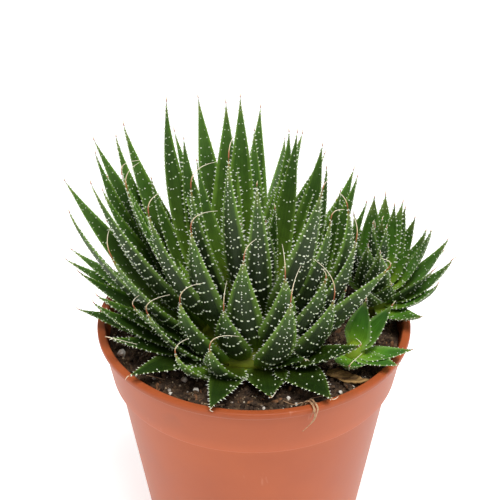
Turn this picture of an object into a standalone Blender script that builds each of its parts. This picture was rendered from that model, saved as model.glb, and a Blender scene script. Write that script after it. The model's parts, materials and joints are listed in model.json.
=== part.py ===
"""Potted lace aloe: a clump of three rosettes in a thin moulded flower pot filled with potting soil.

The frame has its origin at the middle of the pot's foot, with +Z up and -Y towards the viewer.
Sizes below are in millimetres and angles in degrees; MM turns them into Blender's metres.
"""
from math import cos, radians, sin, tau

import bmesh
import bpy
import numpy as np
from mathutils import Vector

MM = 0.001

# Pot
POT_HEIGHT = 92.0
POT_WALL = 1.2
FOOT_RADIUS = 35.5
BODY_TOP_RADIUS = 46.4
BAND_HEIGHT = 18.5
BAND_LOWER_RADIUS = 48.3
BAND_UPPER_RADIUS = 51.0
LIP_RADIUS = 52.5
LIP_HEIGHT = 2.2
FLOOR_THICKNESS = 1.6
DRAIN_HOLES = 6
DRAIN_RADIUS = 3.2
DRAIN_CIRCLE_RADIUS = 26.0
DRAIN_FIRST_ANGLE = 27.0
POT_SIDES = 48

# Soil, which stops short of the pot's wall and of the stems by GAP
GAP = 0.3
SOIL_TOP = 88.0
SOIL_ROUGHNESS = 0.5
SOIL_RINGS = 5
STEM_DEPTH = 8.0
STEM_SHARE = 0.6
STEM_SIDES = 14

# Leaf form: lengths in millimetres, the rest as shares of the leaf's width
TOOTH_PITCH = 8.5
SMALL_TOOTH_PITCH = 6.0
TOOTH_LENGTH = 0.9
ROOT_SINK = 3.0
KEEL_DEPTH = 0.26
NEAR_TWIST = 0.5
LOW_RISE = 25.0
HIGH_RISE = 45.0
NEAR_SIDE = 175.0

# A rosette: middle x, middle y, stem radius, height of its lowest leaf, height of the leafy core
MAIN_HEAD = (0.0, -8.0, 21.0, 2.8, 16.0)
SIDE_HEAD = (41.0, 8.0, 7.0, 6.0, 9.0)
YOUNG_HEAD = (32.0, -21.0, 4.0, 4.6, 4.0)

# A leaf: face, turn, rise, curl, length, width, level. It grows from the side of the core at the
# compass angle face and its tip points towards turn, 0 being +X and 90 being +Y. It starts at the
# angle rise above the level and gains curl on the way. Level is 0 at the soil and 1 at the heart.
GROUND_RING = [
    (250, 257, 15, -12, 28, 11, 0.0),
    (280, 275, 13, -10, 18, 14, 0.0),
    (300, 299, 14, -10, 27, 14, 0.0),
    (280, 332, 17, 0, 13, 12, 0.1),
    (306, 331, 25, 10, 26, 13, 0.0),
    (242, 226, -2, 80, 26, 11, 0.0),
    (214, 222, 13, -6, 29, 12, 0.0),
    (205, 203, 12, 20, 31, 12, 0.0),
    (256, 236, 8, 82, 22, 14, 0.0),
]
FRONT_RING = [
    (258, 221, 55, 35, 21, 12, 0.1),
    (240, 202, 42, 42, 28, 13, 0.0),
    (225, 200, 27, 40, 28, 13, 0.0),
    (208, 204, 22, 35, 30, 12, 0.15),
    (278, 306, 47, 42, 33, 12, 0.0),
    (285, 302, 56, 35, 32, 12.5, 0.25),
    (305, 336, 45, 35, 29, 13, 0.0),
    (300, 329, 47, 35, 34, 12, 0.2),
    (325, 351, 48, 6, 41, 13, 0.05),
    (320, 348, 47, 35, 43, 10.5, 0.25),
    (300, 352, 53, 35, 46, 10.5, 0.4),
    (335, 351, 45, 58, 50, 11, 0.3),
    (212, 195, 33, 35, 46, 13, 0.2),
    (230, 208, 66, 20, 43, 12, 0.3),
    (268, 245, 72, 20, 36, 12.5, 0.2),
    (300, 321, 65, 15, 58, 12, 0.5),
]
INNER_RING = [
    (225, 198, 47, 36, 52, 10, 0.4),
    (205, 174, 45, 30, 54, 9, 0.45),
    (185, 159, 42, 30, 55, 9, 0.4),
    (235, 185, 65, 22, 50, 9, 0.55),
    (265, 218, 75, 15, 58, 9, 0.7),
    (275, 270, 72, 18, 54, 9, 0.6),
    (150, 126, 46, 25, 57, 8, 0.6),
    (140, 138, 56, 25, 45, 7, 0.75),
]
BACK_RING = [
    (150, 137, 51, 45, 71, 11, 0.35),
    (140, 128, 51, 38, 56, 10, 0.35),
    (125, 110, 48, 25, 67, 11, 0.4),
    (150, 86, 60, 22, 66, 12, 0.35),
    (130, 83, 63, 22, 66, 11, 0.45),
    (100, 84, 46, 16, 63, 11, 0.4),
    (95, 88, 48, 20, 55, 9, 0.3),
    (85, 77, 41, 5, 56, 11, 0.3),
    (70, 67, 56, 29, 54, 9, 0.5),
    (60, 63, 59, 24, 54, 9, 0.5),
    (95, 60, 52, 3, 56, 11, 0.35),
    (75, 45, 59, -5, 50, 11, 0.4),
    (30, 61, 48, 24, 52, 11, 0.5),
    (10, 31, 56, 38, 49, 9, 0.5),
    (35, 52, 43, 15, 50, 12, 0.15),
    (15, 32, 50, 27, 49, 11, 0.3),
    (5, 40, 57, 19, 43, 11, 0.3),
    (355, 29, 47, 27, 45, 10, 0.2),
    (150, 149, 49, 24, 67, 13, 0.25),
    (160, 154, 48, 32, 67, 12, 0.1),
    (170, 142, 37, 24, 69, 12, 0.15),
    (175, 150, 39, 34, 66, 11, 0.05),
    (190, 145, 21, 29, 68, 12, 0.1),
    (190, 200, 47, 28, 68, 9, 0.2),
    (185, 162, 32, 39, 55, 11, 0.3),
    (185, 183, 33, 37, 60, 12, 0.05),
    (180, 153, 7, 21, 52, 12, 0.15),
    (160, 159, 51, 31, 49, 10, 0.3),
    (190, 176, 22, 15, 43, 12, 0.1),
    (200, 184, 23, 15, 36, 11, 0.05),
    (198, 191, 15, 34, 37, 12, 0.0),
    (195, 170, 6, 10, 39, 13, 0.0),
    (340, 23, 41, 15, 19, 12, 0.05),
]
SIDE_LEAVES = [
    (110, 109, 74, 28, 32, 10, 0.3),
    (90, 75, 55, 22, 29, 10, 0.4),
    (80, 47, 62, 26, 26, 8, 0.6),
    (70, 46, 49, 32, 27, 10, 0.3),
    (60, 54, 54, 15, 27, 8, 0.5),
    (42, 29, 48, 31, 25, 10, 0.35),
    (30, 15, 35, 45, 24, 10, 0.3),
    (12, 3, 40, 40, 26, 10, 0.25),
    (355, 8, 33, 29, 27, 10, 0.1),
    (340, 355, 15, 50, 25, 10, 0.1),
    (300, 348, 34, 15, 19, 10, 0.1),
    (235, 262, 35, 20, 17, 9, 0.05),
    (320, 335, 5, 60, 20, 10, 0.1),
    (285, 307, 4, 30, 19, 10, 0.0),
    (285, 290, 45, 15, 12, 8, 0.15),
    (250, 270, 55, 15, 24, 9, 0.4),
    (195, 222, 70, 8, 22, 8, 0.25),
    (150, 120, 60, 15, 24, 9, 0.3),
    (220, 255, 62, 15, 24, 9, 0.3),
]
YOUNG_LEAVES = [
    (60, 50, 68, 8, 14, 10, 0.3),
    (30, 22, 40, 15, 16, 10, 0.3),
    (255, 260, -2, 45, 12, 11, 0.1),
    (330, 340, 11, 15, 16, 9, 0.0),
    (295, 315, 10, 10, 15, 8, 0.0),
]

# The dry leaf's midline from its root to its tip: x, y, z and half width
DRY_LEAF = [
    (23, -28, 89.2, 1.2),
    (26, -29, 89.6, 2.4),
    (29, -31, 89.3, 2.6),
    (32, -32, 89.3, 2.2),
    (34, -33, 89.7, 1.2),
    (36, -33, 90.3, 0.4),
]
DRY_LEAF_THICKNESS = 0.8

# The root fibres that hang over the lip: compass angle, radius and z of points along each
WISP_FIBRES = [
    [(290, 47, 89.4), (290, 49, 92.3), (290, 51, 92.9), (290, 53.3, 92.5), (290, 53.6, 89),
     (289, 52.4, 86), (287, 51.6, 83)],
    [(291, 47, 89.3), (291, 49, 92.5), (291, 51, 93.1), (291, 53.6, 92.5), (290, 54, 89.5), (289, 53, 87)],
    [(288, 47, 89.4), (289, 49, 92.4), (290, 51, 93.1), (290, 53.4, 92.5), (288.5, 53.7, 89.5)],
]
FIBRE_RADIUS = 0.4

# Rows of like leaves: first turn, step, number, rise, length, width, level.
# They are the low leaves on the far side, and the youngest ones that close the heart.
MAIN_ROWS = [
    (66, 19, 6, 14, 47, 11, 0.0),
    (75, 21, 4, 30, 56, 11, 0.1),
    (35, 137, 5, 78, 27, 8, 0.9),
]
SIDE_ROWS = [
    (20, 36, 4, 24, 21, 8, 0.0),
    (60, 137, 4, 74, 18, 6, 0.85),
]


def clear_scene():
    for obj in list(bpy.data.objects):
        bpy.data.objects.remove(obj)


def material(name, rgb, roughness):
    mat = bpy.data.materials.new(name)
    mat.use_nodes = True
    shader = mat.node_tree.nodes["Principled BSDF"]
    shader.inputs["Base Color"].default_value = (*rgb, 1.0)
    shader.inputs["Roughness"].default_value = roughness
    return mat


def add_object(name, verts, faces, mat=None):
    """An object from points in millimetres, with its faces turned outwards."""
    mesh = bpy.data.meshes.new(name)
    mesh.from_pydata([tuple(MM * c for c in v) for v in verts], [], faces)
    bm = bmesh.new()
    bm.from_mesh(mesh)
    bmesh.ops.recalc_face_normals(bm, faces=bm.faces)
    bm.to_mesh(mesh)
    bm.free()
    if mat:
        mesh.materials.append(mat)
    obj = bpy.data.objects.new(name, mesh)
    bpy.context.scene.collection.objects.link(obj)
    return obj


def turned(profile, sides, x=0.0, y=0.0):
    """Points and faces of a (radius, height) profile turned about a vertical axis, closed on the axis."""
    verts = [(x, y, profile[0][1])]
    for radius, height in profile[1:-1]:
        for k in range(sides):
            angle = tau * k / sides
            verts.append((x + radius * cos(angle), y + radius * sin(angle), height))
    verts.append((x, y, profile[-1][1]))
    rings = len(profile) - 2
    last = len(verts) - 1
    faces = []
    for k in range(sides):
        nxt = (k + 1) % sides
        faces.append((0, 1 + nxt, 1 + k))
        for ring in range(rings - 1):
            low = 1 + ring * sides
            faces.append((low + k, low + nxt, low + sides + nxt, low + sides + k))
        top = 1 + (rings - 1) * sides
        faces.append((top + k, top + nxt, last))
    return verts, faces


def cut(obj, cutters):
    """Cuts the cutters out of the object, applies the cut and removes the cutters."""
    group = bpy.data.collections.new(obj.name + "_cutters")
    for cutter in cutters:
        group.objects.link(cutter)
    boolean(obj, group, "DIFFERENCE", "EXACT")


def boolean(obj, group, operation, solver):
    """Joins or cuts the object with a collection's objects, applies it and removes them."""
    modifier = obj.modifiers.new("Join", "BOOLEAN")
    modifier.operation = operation
    modifier.operand_type = "COLLECTION"
    modifier.collection = group
    modifier.solver = solver
    bpy.context.view_layer.update()
    evaluated = obj.evaluated_get(bpy.context.evaluated_depsgraph_get())
    mesh = bpy.data.meshes.new_from_object(evaluated)
    obj.modifiers.clear()
    obj.data = mesh
    for other in list(group.objects):
        bpy.data.objects.remove(other)
    bpy.data.collections.remove(group)


def keep_outer_shell(obj):
    """Keeps the largest closed shell of a fused object, so sealed hollows are filled and scraps dropped."""
    bm = bmesh.new()
    bm.from_mesh(obj.data)
    left = set(bm.faces)
    shells = []
    while left:
        shell = {left.pop()}
        edge_of_shell = list(shell)
        while edge_of_shell:
            face = edge_of_shell.pop()
            for edge in face.edges:
                for other in edge.link_faces:
                    if other in left:
                        left.remove(other)
                        shell.add(other)
                        edge_of_shell.append(other)
        shells.append(shell)
    shells.sort(key=len)
    for shell in shells[:-1]:
        bmesh.ops.delete(bm, geom=list(shell), context="FACES")
    loose = [vert for vert in bm.verts if not vert.link_faces]
    bmesh.ops.delete(bm, geom=loose, context="VERTS")
    bm.to_mesh(obj.data)
    bm.free()


def body_radius(height):
    """Outer radius of the tapered body below the band."""
    return FOOT_RADIUS + (BODY_TOP_RADIUS - FOOT_RADIUS) * height / (POT_HEIGHT - BAND_HEIGHT)


def make_pot(mat):
    band_foot = POT_HEIGHT - BAND_HEIGHT
    lip_foot = POT_HEIGHT - LIP_HEIGHT
    outside = [
        (0, 0),
        (FOOT_RADIUS - 0.8, 0),
        (FOOT_RADIUS, 0.8),
        (BODY_TOP_RADIUS, band_foot - 0.6),
        (BAND_LOWER_RADIUS, band_foot),
        (BAND_UPPER_RADIUS, lip_foot - 0.4),
        (LIP_RADIUS, lip_foot + 0.3),
        (LIP_RADIUS, POT_HEIGHT - 0.5),
        (LIP_RADIUS - 0.6, POT_HEIGHT),
    ]
    inside = [
        (BAND_UPPER_RADIUS - POT_WALL + 0.4, POT_HEIGHT),
        (BAND_UPPER_RADIUS - POT_WALL, POT_HEIGHT - 0.6),
        (BAND_LOWER_RADIUS - POT_WALL, band_foot + 1.0),
        (BODY_TOP_RADIUS - POT_WALL, band_foot + 0.4),
        (body_radius(FLOOR_THICKNESS) - POT_WALL, FLOOR_THICKNESS),
        (0, FLOOR_THICKNESS),
    ]
    pot = add_object("pot", *turned(outside + inside, POT_SIDES), mat)
    holes = []
    high = FLOOR_THICKNESS + 1
    for k in range(DRAIN_HOLES):
        angle = radians(DRAIN_FIRST_ANGLE) + tau * k / DRAIN_HOLES
        x, y = DRAIN_CIRCLE_RADIUS * cos(angle), DRAIN_CIRCLE_RADIUS * sin(angle)
        drill = [(0, -1), (DRAIN_RADIUS, -1), (DRAIN_RADIUS, high), (0, high)]
        holes.append(add_object("drill", *turned(drill, 12, x, y)))
    cut(pot, holes)
    pot.data.shade_smooth()
    pot.data.set_sharp_from_angle(angle=radians(35))


def make_soil(mat):
    """Soil to just under the lip, with an uneven crumbly top and a plain hole for each stem."""
    rng = np.random.default_rng(7)
    band_foot = POT_HEIGHT - BAND_HEIGHT
    floor = FLOOR_THICKNESS + GAP
    clear = POT_WALL + GAP
    slope = (BAND_UPPER_RADIUS - BAND_LOWER_RADIUS) / (BAND_HEIGHT - LIP_HEIGHT)
    top_radius = BAND_LOWER_RADIUS - clear + slope * (SOIL_TOP - band_foot) - GAP
    profile = [
        (0, floor),
        (body_radius(floor) - clear - GAP, floor),
        (BODY_TOP_RADIUS - clear - GAP, band_foot + 0.8),
        (BAND_LOWER_RADIUS - clear - GAP, band_foot + 1.6),
        (top_radius, SOIL_TOP - 0.8),
    ]
    for ring in range(SOIL_RINGS, 0, -1):
        profile.append(((top_radius - 1.0) * ring / SOIL_RINGS, SOIL_TOP))
    profile.append((0, SOIL_TOP))
    verts, faces = turned(profile, POT_SIDES)
    for i, (x, y, z) in enumerate(verts):
        if z == SOIL_TOP:
            verts[i] = (x, y, z + SOIL_ROUGHNESS * rng.uniform(-1, 1))
    soil = add_object("soil", verts, faces, mat)
    holes = []
    for x, y, radius, _, _ in (MAIN_HEAD, SIDE_HEAD, YOUNG_HEAD):
        low = SOIL_TOP - STEM_DEPTH - GAP
        wide = STEM_SHARE * radius + 2 * GAP
        drill = [(0, low), (wide, low), (wide, SOIL_TOP + 5), (0, SOIL_TOP + 5)]
        holes.append(add_object("drill", *turned(drill, STEM_SIDES, x, y)))
    cut(soil, holes)


def rows(table, seed):
    """Leaves that step round the rosette in rows, each a little off the row's own measures."""
    rng = np.random.default_rng(seed)
    leaves = []
    for first, step, count, rise, length, width, level in table:
        for k in range(count):
            turn = (first + step * k) % 360 + rng.uniform(-3, 3)
            tilt = rise + rng.uniform(-3, 3)
            leaves.append((turn, turn, tilt, 15, length * rng.uniform(0.9, 1.1), width, level))
    return leaves


def half_width(t):
    """Half the leaf's width, as a share of its full width, at the share t of its length.

    The root is narrow, the widest place a quarter of the way along and the point long.
    """
    root = min(1.0, 0.55 + 1.8 * t)
    return 0.5 * root * (1 - t) ** 1.3 * (0.8 + 2.5 * t)


def back_angle(turn, rise):
    """Compass angle a leaf's back looks towards: outwards, but nearer the viewer at -Y on upright near leaves."""
    if turn <= NEAR_SIDE:
        return radians(turn)
    upright = min(1.0, max(0.0, (rise - LOW_RISE) / (HIGH_RISE - LOW_RISE)))
    return radians(turn + NEAR_TWIST * upright * (270 - turn))


def leaf(head, spec, pitch):
    """Points and faces of one leaf: a flat upper face, toothed margins and a keel on the back."""
    face, turn, rise, curl, length, width, level = spec
    x, y, radius, lift, height = head
    back_look = back_angle(turn, rise)
    face, turn = radians(face), radians(turn)
    outwards = Vector((cos(back_look), sin(back_look), 0))
    reach = radius * (1 - 0.75 * level) - ROOT_SINK
    point = Vector((x, y, SOIL_TOP + lift + height * level))
    point += reach * Vector((cos(face), sin(face), 0))
    steps = 2 * max(3, round(length / pitch))
    stride = (length + ROOT_SINK) / steps
    verts, faces = [], []
    for i in range(steps):
        t = i / steps
        angle = radians(rise + curl * t)
        along = Vector((cos(angle) * cos(turn), cos(angle) * sin(turn), sin(angle)))
        back = (outwards - outwards.dot(along) * along).normalized()
        side = along.cross(back)
        half = width * half_width(t)
        tooth = TOOTH_LENGTH * min(1.0, 3 * (1 - t)) if i % 2 else 0.0
        depth = width * KEEL_DEPTH * min(1.0, 0.5 + 1.5 * t) * (1 - t) ** 0.6 + 0.3 * tooth
        verts += [
            point + side * (half + tooth),
            point - side * (half + tooth),
            point + back * (depth + 0.3),
        ]
        point = point + along * stride
    verts.append(point)
    for i in range(steps - 1):
        for k in range(3):
            a, b = 3 * i + k, 3 * i + (k + 1) % 3
            faces.append((a, b, b + 3, a + 3))
    last = 3 * (steps - 1)
    for k in range(3):
        faces.append((last + k, last + (k + 1) % 3, len(verts) - 1))
    faces.append((2, 1, 0))
    return verts, faces


def make_head(name, head, leaves, pitch, mat):
    """A rosette: its stem with a domed core, and every leaf fused to it."""
    x, y, radius, lift, height = head
    low = SOIL_TOP - STEM_DEPTH
    neck = SOIL_TOP + lift
    core = [
        (0, low),
        (STEM_SHARE * radius, low),
        (STEM_SHARE * radius, SOIL_TOP + 0.3 * lift),
        (radius, neck),
        (0.75 * radius, neck + 0.45 * height),
        (0.35 * radius, neck + 0.9 * height),
        (0, neck + height),
    ]
    stem = add_object(name, *turned(core, STEM_SIDES, x, y), mat)
    group = bpy.data.collections.new(name + "_leaves")
    for spec in leaves:
        group.objects.link(add_object("leaf", *leaf(head, spec, pitch)))
    boolean(stem, group, "UNION", "MANIFOLD")
    keep_outer_shell(stem)
    if mat.name not in stem.data.materials:
        stem.data.materials.append(mat)


def make_dry_leaf(mat):
    """The dead leaf on the soil: a thin blade with raised edges that narrows to a point."""
    verts, faces = [], []
    half_thickness = DRY_LEAF_THICKNESS / 2
    first, last = Vector(DRY_LEAF[0][:3]), Vector(DRY_LEAF[-1][:3])
    side = (last - first).cross(Vector((0, 0, 1))).normalized()
    for x, y, z, half in DRY_LEAF:
        middle = Vector((x, y, z))
        for share, rise in ((-1, 0.4), (0, 0), (1, 0.4)):
            edge = middle + side * share * half
            verts.append(edge + Vector((0, 0, rise * half / 2 + half_thickness)))
            verts.append(edge + Vector((0, 0, rise * half / 2 - half_thickness)))
    around = [0, 2, 4, 5, 3, 1]
    for i in range(len(DRY_LEAF) - 1):
        for k in range(6):
            a, b = 6 * i + around[k], 6 * i + around[(k + 1) % 6]
            faces.append((a, b, b + 6, a + 6))
    end = 6 * (len(DRY_LEAF) - 1)
    for start in (0, end):
        faces.append([start + k for k in around])
    add_object("dry_leaf", verts, faces, mat)


def fibre(points, radius, sides=5):
    """Points and faces of a thin round fibre through points, closed at both ends."""
    verts, faces = [], []
    for i, point in enumerate(points):
        before, after = points[max(i - 1, 0)], points[min(i + 1, len(points) - 1)]
        along = (after - before).normalized()
        across = along.cross(Vector((0, 1, 0))).normalized()
        up = along.cross(across)
        for k in range(sides):
            angle = tau * k / sides
            verts.append(point + radius * (cos(angle) * across + sin(angle) * up))
    for i in range(len(points) - 1):
        for k in range(sides):
            a, b = sides * i + k, sides * i + (k + 1) % sides
            faces.append((a, b, b + sides, a + sides))
    faces.append(range(sides))
    faces.append(range(sides * (len(points) - 1), sides * len(points)))
    return verts, faces


def make_root_wisp(mat):
    """The tuft of root fibres over the lip, fused where its fibres meet."""
    tubes = []
    for fibre_points in WISP_FIBRES:
        points = [Vector((r * cos(radians(a)), r * sin(radians(a)), z)) for a, r, z in fibre_points]
        tubes.append(fibre(points, FIBRE_RADIUS))
    wisp = add_object("root_wisp", *tubes[0], mat)
    group = bpy.data.collections.new("root_wisp_fibres")
    for tube in tubes[1:]:
        group.objects.link(add_object("fibre", *tube))
    boolean(wisp, group, "UNION", "MANIFOLD")


def main():
    clear_scene()
    clay = material("terracotta_plastic", (0.56, 0.16, 0.09), 0.45)
    peat = material("potting_soil", (0.05, 0.035, 0.025), 0.95)
    green = material("leaf_green", (0.03, 0.09, 0.025), 0.4)
    dark = material("side_leaf_green", (0.02, 0.07, 0.02), 0.4)
    bright = material("young_leaf_green", (0.1, 0.22, 0.03), 0.4)
    straw = material("dry_leaf_tan", (0.42, 0.24, 0.1), 0.8)
    root = material("dry_root_brown", (0.4, 0.24, 0.12), 0.8)
    make_pot(clay)
    make_soil(peat)
    main_leaves = GROUND_RING + FRONT_RING + INNER_RING + BACK_RING + rows(MAIN_ROWS, 3)
    make_head("main_rosette", MAIN_HEAD, main_leaves, TOOTH_PITCH, green)
    make_head("side_rosette", SIDE_HEAD, SIDE_LEAVES + rows(SIDE_ROWS, 4), SMALL_TOOTH_PITCH, dark)
    make_head("young_rosette", YOUNG_HEAD, YOUNG_LEAVES, SMALL_TOOTH_PITCH, bright)
    make_dry_leaf(straw)
    make_root_wisp(root)


main()
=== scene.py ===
"""The looks of a potted lace aloe: a clump of three rosettes in a thin moulded flower pot.

Lengths are in millimetres and angles in degrees, with the middle of the pot's foot as origin, +Z up
and -Y towards the viewer. MM turns millimetres into Blender's metres.
"""

import json
from math import cos, radians, sin, tau

import bpy
import numpy as np
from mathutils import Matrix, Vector

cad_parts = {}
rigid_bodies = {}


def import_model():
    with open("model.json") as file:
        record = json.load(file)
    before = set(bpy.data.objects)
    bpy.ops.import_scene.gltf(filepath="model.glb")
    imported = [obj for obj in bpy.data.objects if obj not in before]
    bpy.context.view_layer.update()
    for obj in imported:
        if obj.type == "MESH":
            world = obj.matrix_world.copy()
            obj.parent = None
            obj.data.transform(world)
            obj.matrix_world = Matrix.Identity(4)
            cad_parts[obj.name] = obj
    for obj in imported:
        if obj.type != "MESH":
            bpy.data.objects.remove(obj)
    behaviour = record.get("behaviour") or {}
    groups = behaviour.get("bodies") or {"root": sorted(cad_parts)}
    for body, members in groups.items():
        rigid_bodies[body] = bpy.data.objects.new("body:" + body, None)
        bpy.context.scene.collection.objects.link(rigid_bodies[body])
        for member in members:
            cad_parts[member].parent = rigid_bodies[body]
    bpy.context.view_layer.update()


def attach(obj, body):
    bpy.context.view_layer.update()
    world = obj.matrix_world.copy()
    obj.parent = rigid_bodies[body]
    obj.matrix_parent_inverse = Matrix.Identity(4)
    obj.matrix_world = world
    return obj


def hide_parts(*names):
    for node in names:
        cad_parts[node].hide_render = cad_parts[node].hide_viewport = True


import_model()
MM = 0.001

# Flower pot
# A round grower's pot, injection-moulded in one shot from polypropylene with a terracotta pigment.
# It has a tapered body, a wider band under a thin rolled lip, and drain holes in a flat foot.
POT_HEIGHT = 92.0
POT_WALL = 1.2
FOOT_RADIUS = 35.5
BODY_TOP_RADIUS = 46.4
BAND_FOOT = 73.5
BAND_LOWER_RADIUS = 48.3
BAND_UPPER_RADIUS = 51.0
LIP_RADIUS = 52.5
LIP_FOOT = 89.8
FLOOR_THICKNESS = 1.6
DRAIN_HOLES = 6
DRAIN_RADIUS = 3.2
DRAIN_CIRCLE_RADIUS = 26.0
DRAIN_FIRST_ANGLE = 27.0
DRILL_LOW = -1.0
DRILL_HIGH = 4.0
MOULD_CORNER = 0.7
FOOT_EDGE = 0.8
POT_CREASE = 50
POT_SIDES = 192
DRAIN_SIDES = 32
# Painted shadow and highlight on the pot by height: laid over the clay, which the plain grey leaves as it
# is, with a painted shadow line under the band and under the lip and a painted highlight on the edge above
# each
PLAIN_GREY = "#BCBCBC"
PAINTED_SHADOW_AND_HIGHLIGHT_LINES = [
    (0.0, PLAIN_GREY), (BAND_FOOT - 2.1, PLAIN_GREY), (BAND_FOOT - 1.1, "#565656"),
    (BAND_FOOT - 0.4, "#5E5E5E"), (BAND_FOOT + 0.1, "#D0D0D0"), (BAND_FOOT + 1.7, PLAIN_GREY),
    (LIP_FOOT - 2.2, PLAIN_GREY), (LIP_FOOT - 1.0, "#565656"), (LIP_FOOT - 0.3, "#606060"),
    (LIP_FOOT + 0.2, "#C4C4C4"),
]


def colour(code):
    """An sRGB hex colour turned to linear light."""
    parts = [int(code[i:i + 2], 16) / 255 for i in (1, 3, 5)]
    return tuple(c / 12.92 if c <= 0.04045 else ((c + 0.055) / 1.055) ** 2.4 for c in parts) + (1.0,)


def add(tree, kind, inputs=None, stops=None, **settings):
    """A node with its settings and its inputs, each a value or a socket, and a ramp's colour stops."""
    made = tree.nodes.new(kind)
    for name, value in settings.items():
        setattr(made, name, value)
    for key, value in (inputs or {}).items():
        if isinstance(value, bpy.types.NodeSocket):
            tree.links.new(value, made.inputs[key])
        else:
            made.inputs[key].default_value = value
    for i, (place, code) in enumerate(stops or []):
        ramp = made.color_ramp.elements
        stop = ramp[i] if i < 2 else ramp.new(place)
        stop.position = place
        stop.color = colour(code)
    return made


def finish_of(name):
    """A new material with its node tree, and each point's place on the piece in metres."""
    made = bpy.data.materials.new(name)
    made.use_nodes = True
    made.node_tree.nodes.clear()
    return made, made.node_tree, add(made.node_tree, "ShaderNodeTexCoord").outputs["Object"]


def surface(tree, inputs):
    """The last step of a material: the skin that the light meets, joined to the output."""
    skin = add(tree, "ShaderNodeBsdfPrincipled", inputs)
    add(tree, "ShaderNodeOutputMaterial", {"Surface": skin.outputs[0]})


def every(size):
    """A pattern's scale for marks that are this many millimetres apart on the real thing."""
    return 1 / (MM * size)


def piece(name, verts, faces, material, slot, stands_for=None, smooth=60):
    """A mesh piece, its points in millimetres, that rides on the plant, with a finish. The slot it is
    given is not used.

    stands_for names the CAD node it takes the place of. Edges bent past smooth degrees stay crisp.
    """
    mesh = bpy.data.meshes.new(name)
    mesh.from_pydata([tuple(MM * c for c in v) for v in verts], [], [tuple(f) for f in faces])
    mesh.update()
    mesh.materials.append(material)
    mesh.shade_smooth()
    mesh.set_sharp_from_angle(angle=radians(smooth))
    made = bpy.data.objects.new(name, mesh)
    bpy.context.scene.collection.objects.link(made)
    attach(made, "root")
    if stands_for:
        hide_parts(stands_for)
    return made


def rounded(profile, radius, steps=4):
    """A (radius, height) profile whose inner corners are turned into small arcs."""
    made = [profile[0]]
    for before, corner, after in zip(profile, profile[1:], profile[2:]):
        corner_point = Vector(corner)
        to_before = Vector(before) - corner_point
        to_after = Vector(after) - corner_point
        cut = min(radius, 0.45 * to_before.length, 0.45 * to_after.length)
        start = corner_point + to_before.normalized() * cut
        end = corner_point + to_after.normalized() * cut
        for k in range(steps + 1):
            s = k / steps
            made.append(tuple((1 - s) ** 2 * start + 2 * s * (1 - s) * corner_point + s * s * end))
    made.append(profile[-1])
    return made


def circle(radius, height, sides, x=0.0, y=0.0):
    """Points of a level circle."""
    angles = [tau * k / sides for k in range(sides)]
    return [(x + radius * cos(angle), y + radius * sin(angle), height) for angle in angles]


def turned(profile, sides, x=0.0, y=0.0):
    """Points and faces of a profile turned about a vertical axis, with both ends on the axis."""
    verts = [(x, y, profile[0][1])]
    for radius, height in profile[1:-1]:
        verts += circle(radius, height, sides, x, y)
    verts.append((x, y, profile[-1][1]))
    rings, last = len(profile) - 2, len(verts) - 1
    faces = []
    for k in range(sides):
        nxt = (k + 1) % sides
        faces.append((0, 1 + nxt, 1 + k))
        for ring in range(rings - 1):
            low = 1 + ring * sides
            faces.append((low + k, low + nxt, low + sides + nxt, low + sides + k))
        top = 1 + (rings - 1) * sides
        faces.append((top + k, top + nxt, last))
    return verts, faces


# Moulded polypropylene: an even satin skin with a faint mottle, a fine orange-peel texture, painted shadow
# lines under the band and the lip with painted highlights on the edges above them, dull smudges of potting
# mix on the band and a few pale scuffs.
polypropylene, tree, where = finish_of("terracotta_moulded_polypropylene")
mottle = add(tree, "ShaderNodeTexNoise", {"Vector": where, "Scale": every(35.7), "Detail": 4.0})
clay = add(tree, "ShaderNodeValToRGB", {"Fac": mottle.outputs["Fac"]},
           stops=[(0.3, "#A9522C"), (0.7, "#B65C32")])
height = add(tree, "ShaderNodeSeparateXYZ", {"Vector": where}).outputs["Z"]
on_band = add(tree, "ShaderNodeMapRange",
              {"Value": height, "From Min": MM * (BAND_FOOT + 0.5), "From Max": MM * (LIP_FOOT + 0.2)})
smudge = add(tree, "ShaderNodeTexNoise", {"Vector": where, "Scale": every(11.1), "Detail": 6.0})
smudged = add(tree, "ShaderNodeMapRange",
              {"Value": smudge.outputs["Fac"], "From Min": 0.6, "From Max": 0.74, "To Max": 0.32})
dirt = add(tree, "ShaderNodeMath", {0: on_band.outputs[0], 1: smudged.outputs[0]}, operation="MULTIPLY")
dirty = add(tree, "ShaderNodeMix", {0: dirt.outputs[0], 6: clay.outputs[0], 7: colour("#7A5240")},
            data_type="RGBA")
stretched = add(tree, "ShaderNodeMapping",
                {"Vector": where, "Scale": (every(3.85), every(3.85), every(16.7))})
scratch = add(tree, "ShaderNodeTexNoise", {"Vector": stretched.outputs[0], "Scale": 1.0, "Detail": 2.0})
scuffed = add(tree, "ShaderNodeMapRange",
              {"Value": scratch.outputs["Fac"], "From Min": 0.72, "From Max": 0.8, "To Max": 0.3})
scuffs = add(tree, "ShaderNodeMix", {0: scuffed.outputs[0], 6: dirty.outputs[2], 7: colour("#E3B29B")},
             data_type="RGBA")
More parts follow.
